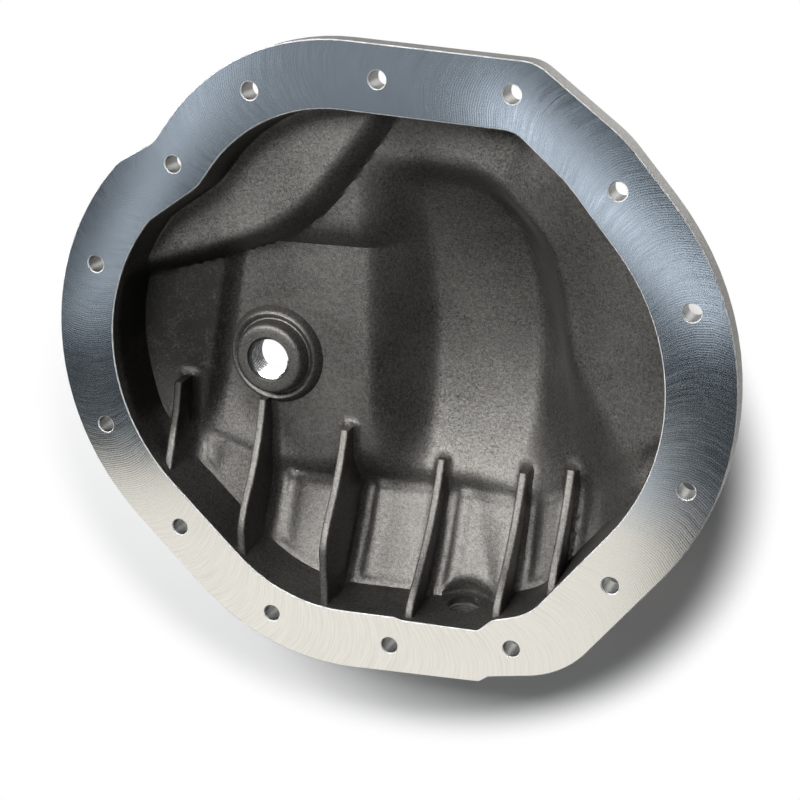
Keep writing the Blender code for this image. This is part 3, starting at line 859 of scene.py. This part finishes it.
    def fill_core(
        self,
        shape: bmesh.types.BMesh,
        loop: Sequence[bmesh.types.BMVert],
        depth_at: Callable[[np.ndarray, np.ndarray], np.ndarray],
        step: float,
    ) -> None:
        """Close a ring with a square grid that lies on a depth function.

        Args:
            shape: mesh to build in.
            loop: the ring's vertices.
            depth_at: depth for places x and z.
            step: the grid's spacing.
        """
        hem = np.array([(vert.co.x, vert.co.z) for vert in loop])
        depths = [vert.co.y for vert in loop]
        for vert in loop:
            vert.co.y = 0.0
        low, high = hem.min(axis=0), hem.max(axis=0)
        counts = [max(2, round(float(span) / step)) for span in high - low]
        grid = bmesh.ops.create_grid(shape, x_segments=counts[0], y_segments=counts[1], size=0.5)["verts"]
        for vert in grid:
            x = low[0] + (vert.co.x + 0.5) * (high[0] - low[0])
            vert.co = (x, 0.0, low[1] + (vert.co.y + 0.5) * (high[1] - low[1]))
        places = np.array([(vert.co.x, vert.co.z) for vert in grid])
        x, z = places.T
        room = radial_reach(hem, np.arctan2(z, x)) - np.hypot(x, z)
        outside = {face for vert, gap in zip(grid, room) if gap < 0.6 * step for face in vert.link_faces}
        bmesh.ops.delete(shape, geom=list(outside), context="FACES")
        grid = [vert for vert in grid if vert.is_valid]
        border = list({edge for vert in grid for edge in vert.link_edges if len(edge.link_faces) == 1})
        hem_edges = [shape.edges.get((vert, loop[index - 1])) for index, vert in enumerate(loop)]
        bmesh.ops.triangle_fill(shape, edges=hem_edges + border, use_beauty=True, normal=(0.0, 1.0, 0.0))
        for vert, depth in zip(loop, depths):
            vert.co.y = depth
        places = np.array([(vert.co.x, vert.co.z) for vert in grid])
        for vert, depth in zip(grid, depth_at(places[:, 0], places[:, 1])):
            vert.co.y = depth

    def body(self) -> bpy.types.Object:
        """The flange and bowl without fins, bosses and holes."""
        shape = bmesh.new()
        first, last = self.loft(shape, self.rings())
        self.fill_core(shape, first, self.form.depth, self.bowl_grid)
        self.fill_core(shape, last, self.back, self.back_grid)
        bmesh.ops.triangulate(shape, faces=shape.faces, quad_method="SHORT_EDGE")
        bmesh.ops.recalc_face_normals(shape, faces=shape.faces)
        return as_object("cover_casting", shape)

    def fin_blade(self, fin: Fin) -> bpy.types.Object:
        """A fin with a rounded crest.

        Args:
            fin: which fin.

        Returns:
            The fin as a tool object.
        """
        heights = np.linspace(self.lower_edge(fin.x) - self.wall / 2.0, fin.top, 33)
        front = self.form.crest(fin, heights)
        rear = np.maximum(self.form.plain(np.full_like(heights, fin.x), heights), front) + self.fin_root
        outline = list(zip(front, heights)) + list(zip(rear[::-1], heights[::-1]))
        shape = bmesh.new()
        side = fin.x - self.form.fin_thickness / 2.0
        face = shape.faces.new([shape.verts.new((side, y, z)) for y, z in outline])
        grown = bmesh.ops.extrude_face_region(shape, geom=[face], use_keep_orig=True)
        moved = [item for item in grown["geom"] if isinstance(item, bmesh.types.BMVert)]
        bmesh.ops.translate(shape, verts=moved, vec=(self.form.fin_thickness, 0.0, 0.0))
        bmesh.ops.recalc_face_normals(shape, faces=shape.faces)
        crest = [
            edge for edge in shape.edges
            if abs(edge.verts[0].co.x - edge.verts[1].co.x) < 1e-6
            and all(self.on_crest(fin, vert.co) for vert in edge.verts)
        ]
        bmesh.ops.bevel(
            shape, geom=crest, offset=self.fin_round, segments=3, profile=0.5, affect="EDGES", material=-1
        )
        return as_object("fin_tool", shape)

    def on_crest(self, fin: Fin, point: Vector) -> bool:
        """Whether a point lies on a fin's crest."""
        return abs(float(self.form.crest(fin, np.array([point.z]))[0]) - point.y) < 1e-6

    def turned_solid(
        self, profile: Sequence[tuple[float, float]], centre: Place, sides: int, upright: bool = False
    ) -> bpy.types.Object:
        """A solid of revolution along Y, or down along -Z when upright.

        Args:
            profile: radius and height pairs.
            centre: where its axis starts.
            sides: facets round it.
            upright: whether it runs down along -Z.

        Returns:
            The solid as a tool object.
        """
        angles = np.linspace(0.0, math.tau, sides, endpoint=False)
        rings = [
            np.stack((radius * np.cos(angles), np.full(sides, height), radius * np.sin(angles)), axis=-1)
            for radius, height in profile
        ]
        shape = bmesh.new()
        for loop in self.loft(shape, rings):
            bmesh.ops.contextual_create(shape, geom=loop)
        if upright:
            bmesh.ops.rotate(shape, verts=shape.verts, matrix=Matrix.Rotation(-math.pi / 2.0, 3, "X"))
        bmesh.ops.translate(shape, verts=shape.verts, vec=centre)
        bmesh.ops.recalc_face_normals(shape, faces=shape.faces)
        return as_object("turned_tool", shape)

    def bosses(self) -> list[bpy.types.Object]:
        """The fill boss inside the bowl and the drain boss below it."""
        foot = self.form.floor_depth
        profile = [(self.fill_boss_base / 2.0, foot + self.wall / 4.0)]
        profile += [(radius, foot - rise) for radius, rise in self.fill_boss_steps]
        centre = (self.fill_x, 0.0, self.fill_z)
        low = self.wall + self.drain_boss_length
        outer = self.drain_boss / 2.0
        drain = [(outer, self.wall / 2.0), (outer, low - 0.001), (outer - 0.001, low)]
        under = (self.form.drain_x, self.form.drain_y, self.lower_edge(self.form.drain_x))
        return [
            self.turned_solid(profile, centre, 72),
            self.turned_solid(drain, under, 64, upright=True),
        ]

    def cutters(self) -> list[bpy.types.Object]:
        """The bores, the spot face and the bolt holes."""
        centre = (self.fill_x, 0.0, self.fill_z)
        front, back = self.form.floor_depth - self.fill_boss_rise, self.form.floor_depth + self.wall
        bore = self.fill_bore / 2.0
        fill = [(bore + 0.0030, front - 0.0020), (bore, front + 0.0010), (bore, back + self.overrun)]
        face = self.fill_spot_face / 2.0
        spot = [(face, back - self.spot_face_cut), (face, back + self.overrun)]
        under = (self.form.drain_x, self.form.drain_y, self.lower_edge(self.form.drain_x))
        low = self.wall + self.drain_boss_length
        drain = [(self.drain_bore / 2.0, -self.overrun), (self.drain_bore / 2.0, low + self.overrun)]
        made = [
            self.turned_solid(fill, centre, 72),
            self.turned_solid(spot, centre, 72),
            self.turned_solid(drain, under, 64, upright=True),
        ]
        radius = self.bolt_hole / 2.0
        profile = (
            (radius + self.bolt_hole_chamfer + self.overrun, -self.overrun),
            (radius, self.bolt_hole_chamfer),
            (radius, self.flange_thickness + self.overrun),
        )
        made.extend(self.turned_solid(profile, (x, 0.0, z), 40) for x, z in self.bolt_holes)
        return made

    def mill_route(self, mesh: bpy.types.Mesh) -> None:
        """Write the cutter's route round the flange as a map: length along it and offset across it."""
        angles = np.linspace(0.0, math.tau, 721)
        middle = (self.form.opening.reach(angles) + self.flange.reach(angles)) / 2.0
        track = np.stack((middle * np.cos(angles), middle * np.sin(angles)), axis=-1)
        length = np.concatenate(([0.0], np.cumsum(np.linalg.norm(np.diff(track, axis=0), axis=1))))
        places = np.empty(len(mesh.vertices) * 3)
        mesh.vertices.foreach_get("co", places)
        places = places.reshape(-1, 3)
        corners = np.empty(len(mesh.loops), dtype=int)
        mesh.loops.foreach_get("vertex_index", corners)
        spots = places[corners]
        turn = np.arctan2(spots[:, 2], spots[:, 0]) % math.tau
        radius = np.hypot(spots[:, 0], spots[:, 2])
        along = np.interp(turn, angles, length)
        across = radius - np.interp(turn, angles, middle)
        for polygon in mesh.polygons:
            own = slice(polygon.loop_start, polygon.loop_start + polygon.loop_total)
            if along[own].max() - along[own].min() > length[-1] / 2.0:
                along[own] = np.where(along[own] < length[-1] / 2.0, along[own] + length[-1], along[own])
        lag = np.sqrt(np.maximum(self.cutter_radius ** 2 - across ** 2, 0.0))
        route = mesh.uv_layers.new(name="milling")
        route.data.foreach_set("uv", np.stack((along - lag, across), axis=-1).ravel())

    def mark_left_painted_shade(self, mesh: bpy.types.Mesh) -> None:
        """Mark the painted shade on the raised zone at the left of the bowl, on its inside only."""
        places = np.empty(len(mesh.vertices) * 3)
        mesh.vertices.foreach_get("co", places)
        x, y, z = places.reshape(-1, 3).T
        inside = y < self.form.plain(x, z) + self.wall / 2.0
        shade_share = self.form.left_painted_shade(x, z) * (y > self.form.skirt_start_gear) * inside
        mesh.attributes.new("left_zone_painted_shade", "FLOAT", "POINT").data.foreach_set("value", shade_share)

    def sort_finishes(self, mesh: bpy.types.Mesh) -> None:
        """Give each face its finish by where it lies."""
        for polygon in mesh.polygons:
            polygon.material_index = self.finish_at(polygon.center, polygon.normal).value

    def finish_at(self, place: Vector, normal: Vector) -> Finish:
        """The finish of a face.

        Args:
            place: the face's middle.
            normal: its direction.

        Returns:
            Its finish.
        """
        x, y, z = place
        slack = 0.0001
        if y < self.face_chamfer + slack and normal.y < -0.3:
            return Finish.MILLED if normal.y < -0.95 else Finish.EDGE
        to_bolt = min(math.hypot(hole_x - x, hole_z - z) for hole_x, hole_z in self.bolt_holes)
        if y < self.flange_thickness + slack and to_bolt < self.bolt_hole / 2.0 + slack:
            return Finish.DRILLED
        to_fill = math.hypot(x - self.fill_x, z - self.fill_z)
        in_bore = to_fill < self.fill_bore / 2.0 + self.bore_lip and abs(normal.y) < 0.95
        if y > self.form.floor_depth / 2.0 and in_bore:
            return Finish.DRILLED
        if to_fill < self.fill_spot_face / 2.0 + slack and normal.y > 0.99:
            return Finish.DRILLED
        to_drain = math.hypot(x - self.form.drain_x, y - self.form.drain_y)
        if z < self.form.scoop_top and to_drain < self.drain_bore / 2.0 + slack:
            return Finish.DRILLED
        return Finish.CAST

    def build(self) -> bpy.types.Object:
        """Build the finished casting.

        Returns:
            The casting's object.
        """
        cover = self.body()
        unite(cover, [self.fin_blade(fin) for fin in self.fins] + self.bosses(), "UNION")
        unite(cover, self.cutters(), "DIFFERENCE")
        mesh = cover.data
        # Painted shade: bores, bolt holes and the spot face get a dark 0.20 tone in place of bright cut
        # metal, standing in for the shade inside the holes.
        drilled = CutFinish("drilled_aluminium_painted_shade", tone=(0.20, 0.20, 0.19, 1.0), roughness=0.36)
        for finish in (CastFinish(), MilledFinish(), drilled, EdgeFinish()):
            mesh.materials.append(finish.build())
        self.mill_route(mesh)
        self.mark_left_painted_shade(mesh)
        self.sort_finishes(mesh)
        mesh.shade_smooth()
        mesh.set_sharp_from_angle(angle=self.smooth_below)
        return cover


@dataclass
class ThreadRidge:
    """The helical ridge of a tapped hole."""

    name: str
    radius: float
    start: Place
    length: float
    upright: bool
    pitch: float = 0.0015
    height: float = 0.0009
    seat: float = 0.0003
    steps_per_turn: int = 48

    def build(self) -> bpy.types.Object:
        """Wind the ridge.

        Returns:
            The ridge's object.
        """
        shape = bmesh.new()
        outer, inner = self.radius + self.seat, self.radius - self.height
        rise, fall = 0.44 * self.pitch, 0.56 * self.pitch
        outline = ((outer, 0.0), (inner, rise), (inner, fall), (outer, self.pitch))
        face = shape.faces.new([shape.verts.new((across, up, 0.0)) for across, up in outline])
        turns = self.length / self.pitch - 1.0
        steps = round(turns * self.steps_per_turn)
        bmesh.ops.spin(
            shape, geom=[face], cent=(0.0, 0.0, 0.0), axis=(0.0, 1.0, 0.0),
            dvec=(0.0, self.pitch / self.steps_per_turn, 0.0), angle=math.tau * turns, steps=steps,
            use_merge=False, use_duplicate=False,
        )
        shape.normal_update()
        if self.upright:
            bmesh.ops.rotate(shape, verts=shape.verts, matrix=Matrix.Rotation(-math.pi / 2.0, 3, "X"))
        bmesh.ops.translate(shape, verts=shape.verts, vec=self.start)
        bmesh.ops.recalc_face_normals(shape, faces=shape.faces)
        ridge = as_object(self.name, shape)
        ridge.data.materials.append(CutFinish(self.name + "_metal", roughness=0.22).build())
        ridge.data.shade_smooth()
        ridge.data.set_sharp_from_angle(angle=math.radians(30.0))
        return ridge


def as_object(name: str, shape: bmesh.types.BMesh) -> bpy.types.Object:
    """Make an object of a bmesh."""
    mesh = bpy.data.meshes.new(name)
    shape.to_mesh(mesh)
    shape.free()
    made = bpy.data.objects.new(name, mesh)
    bpy.context.scene.collection.objects.link(made)
    return made


def unite(body: bpy.types.Object, tools: Sequence[bpy.types.Object], operation: str) -> None:
    """Join tools to a body or cut them out, and apply the result.

    Args:
        body: the object to change.
        tools: closed objects, removed afterwards.
        operation: UNION or DIFFERENCE.
    """
    for tool in tools:
        change = body.modifiers.new(tool.name, "BOOLEAN")
        change.operation = operation
        change.solver = "EXACT"
        change.object = tool
    graph = bpy.context.evaluated_depsgraph_get()
    result = bpy.data.meshes.new_from_object(body.evaluated_get(graph))
    body.modifiers.clear()
    body.data = result
    for tool in tools:
        bpy.data.objects.remove(tool, do_unlink=True)


@dataclass(frozen=True)
class Lamp:
    """A rectangular soft box; roll turns its long side from the level, in degrees."""

    name: str
    place: Place
    target: Place
    size: tuple[float, float]
    watts: float
    colour: tuple[float, float, float] = (1.0, 1.0, 1.0)
    roll: float = 0.0

    def build(self) -> None:
        """Hang the lamp and point it at its target."""
        light = bpy.data.lights.new(self.name, "AREA")
        light.shape = "RECTANGLE"
        light.size, light.size_y = self.size
        light.energy = self.watts
        light.color = self.colour
        holder = bpy.data.objects.new(self.name, light)
        holder.location = self.place
        facing = (Vector(self.target) - Vector(self.place)).to_track_quat("-Z", "Y")
        turn = Quaternion((0.0, 0.0, 1.0), math.radians(self.roll))
        holder.rotation_euler = (facing @ turn).to_euler()
        bpy.context.scene.collection.objects.link(holder)


WARM, COOL = (1.0, 0.98, 0.94), (0.90, 0.95, 1.0)


@dataclass
class Studio:
    """Backdrop, floor, lamps and camera."""

    camera_place: Place = (0.3019, -0.7389, 0.2695)
    camera_right: Place = (0.9333, 0.3586, -0.0179)
    camera_down: Place = (0.1040, -0.3179, -0.9424)
    camera_ahead: Place = (-0.3436, 0.8777, -0.3340)
    lens: float = 77.3
    sensor: float = 36.0
    table_depth: float = 0.0835
    floor_height: float = -0.420
    room_colour: tuple[float, float, float, float] = (0.86, 0.94, 1.0, 1.0)
    room_level: float = 0.055
    shadow_middle: tuple[float, float] = (-0.035, -0.075)
    shadow_reach: tuple[float, float] = (0.215, 0.175)
    shadow_fade: tuple[float, float] = (0.88, 1.04)
    bright_core: tuple[float, float] = (0.50, 0.60)
    sheet_size: float = 4.0
    lamps: tuple[Lamp, ...] = (
        Lamp("key", (-0.155, -0.795, 0.505), (0.0, 0.03, 0.0), (0.32, 0.32), 8.5),
        Lamp("window", (-0.77, -0.72, 0.61), (0.0, 0.03, 0.0), (0.45, 0.45), 5.5),
        Lamp("card", (-0.47, -0.80, -0.62), (0.0, 0.0, -0.08), (0.95, 0.42), 1.2, WARM),
        Lamp("right_strip", (-0.07, -0.739, -0.09), (0.12, 0.0, 0.09), (0.30, 0.028), 0.055, COOL, -42.0),
        Lamp("left_strip", (-0.53, -0.739, -0.08), (-0.12, 0.0, 0.09), (0.34, 0.030), 0.034, COOL, 61.0),
        Lamp("sky", (-0.34, -0.739, 0.09), (-0.02, 0.0, 0.14), (0.36, 0.26), 0.075, COOL),
        Lamp("rear", (0.5, 1.4, 0.7), (0.0, 0.05, 0.0), (1.0, 1.0), 6.0),
    )

    def sheet(self, name: str, centre: Place, turn: Matrix) -> bpy.types.Object:
        """A square stage sheet.

        Args:
            name: the sheet's name.
            centre: its middle.
            turn: rotation from the horizontal.

        Returns:
            The sheet.
        """
        shape = bmesh.new()
        bmesh.ops.create_grid(shape, x_segments=1, y_segments=1, size=self.sheet_size)
        bmesh.ops.rotate(shape, verts=shape.verts, matrix=turn)
        bmesh.ops.translate(shape, verts=shape.verts, vec=centre)
        made = as_object(name, shape)
        made.data.materials.append(self.paper(name + "_paper"))
        return made

    def paper(self, name: str) -> bpy.types.Material:
        """White paper that the camera sees from its front and that keeps the cover's shadow."""
        bench = Bench(name)
        _, x, _, z = bench.place()
        across = (x - self.shadow_middle[0]) / self.shadow_reach[0]
        up = (z - self.shadow_middle[1]) / self.shadow_reach[1]
        away = (across * across + up * up).maths("SQRT")
        white = away.band(*self.shadow_fade) + (1.0 - away.band(*self.bright_core))
        matte = bench.node("ShaderNodeBsdfDiffuse", None, {"Color": (0.90, 0.90, 0.90, 1.0)})
        bright = bench.node("ShaderNodeEmission", None, {"Color": (1.0, 1.0, 1.0, 1.0), "Strength": 1.0})
        sheet = bench.node("ShaderNodeMixShader", None, {0: white, 1: matte, 2: bright})
        clear = bench.node("ShaderNodeBsdfTransparent")
        seen = bench.node("ShaderNodeLightPath", output="Is Camera Ray")
        behind = bench.node("ShaderNodeNewGeometry", output="Backfacing")
        shown = bench.node("ShaderNodeMixShader", None, {0: seen * (1.0 - behind), 1: clear, 2: sheet})
        bench.finish("ShaderNodeOutputMaterial", shown)
        return bench.material

    def world(self) -> None:
        """A dim room that the camera sees as white."""
        world = bpy.data.worlds.new("studio")
        bpy.context.scene.world = world
        world.use_nodes = True
        bench = Bench("studio_room", world.node_tree)
        heading = bench.node("ShaderNodeTexCoord", output="Generated")
        behind = bench.split(heading)[1].band(-0.05, 0.20)
        seen, glossy, through = (
            bench.node("ShaderNodeLightPath", output=kind + " Ray")
            for kind in ("Is Camera", "Is Glossy", "Is Transmission")
        )
        white = seen.maths("MAXIMUM", (glossy + through) * behind)
        room, paper = (
            bench.node("ShaderNodeBackground", None, {"Color": colour, "Strength": level})
            for colour, level in ((self.room_colour, self.room_level), ((1.0, 1.0, 1.0, 1.0), 1.0))
        )
        mixed = bench.node("ShaderNodeMixShader", None, {0: white, 1: room, 2: paper})
        bench.finish("ShaderNodeOutputWorld", mixed)

    def camera(self) -> None:
        """The camera at the photograph's place."""
        lens = bpy.data.cameras.new("camera")
        lens.lens = self.lens
        lens.sensor_width = self.sensor
        holder = bpy.data.objects.new("camera", lens)
        right, up = Vector(self.camera_right), -Vector(self.camera_down)
        facing = Matrix((right, up, -Vector(self.camera_ahead))).transposed().to_4x4()
        facing.translation = Vector(self.camera_place)
        holder.matrix_world = facing
        bpy.context.scene.collection.objects.link(holder)
        bpy.context.scene.camera = holder

    def build(self) -> None:
        """Set the stage."""
        bpy.context.scene.view_settings.view_transform = "Standard"
        self.camera()
        self.world()
        self.sheet("table", (0.0, self.table_depth, 0.0), Matrix.Rotation(math.pi / 2.0, 3, "X"))
        self.sheet("floor", (0.0, 0.0, self.floor_height), Matrix.Identity(3))
        for lamp in self.lamps:
            lamp.build()


def adopt(piece: bpy.types.Object) -> None:
    """Seat a piece in the frame and report it."""
    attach(piece, "root")
    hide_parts("differential_cover")
    LOG.info("%s: %d faces", piece.name, len(piece.data.polygons))


def main() -> None:
    """Build the cover, its threads and the studio."""
    logging.basicConfig(level=logging.INFO, format="%(message)s")
    casting = CoverCasting()
    adopt(casting.build())
    fill_front = casting.form.floor_depth - casting.fill_boss_rise
    fill_start = (casting.fill_x, fill_front + casting.thread_entry, casting.fill_z)
    fill_length = casting.wall + casting.fill_boss_rise - casting.thread_ends
    adopt(ThreadRidge("fill_thread", casting.fill_bore / 2.0, fill_start, fill_length, False).build())
    drain_x, drain_y = casting.form.drain_x, casting.form.drain_y
    drain_start = (drain_x, drain_y, casting.lower_edge(drain_x) - casting.thread_lift)
    drain_length = casting.wall + casting.drain_boss_length - casting.thread_ends
    adopt(ThreadRidge("drain_thread", casting.drain_bore / 2.0, drain_start, drain_length, True).build())
    Studio().build()


if __name__ == "__main__":
    main()
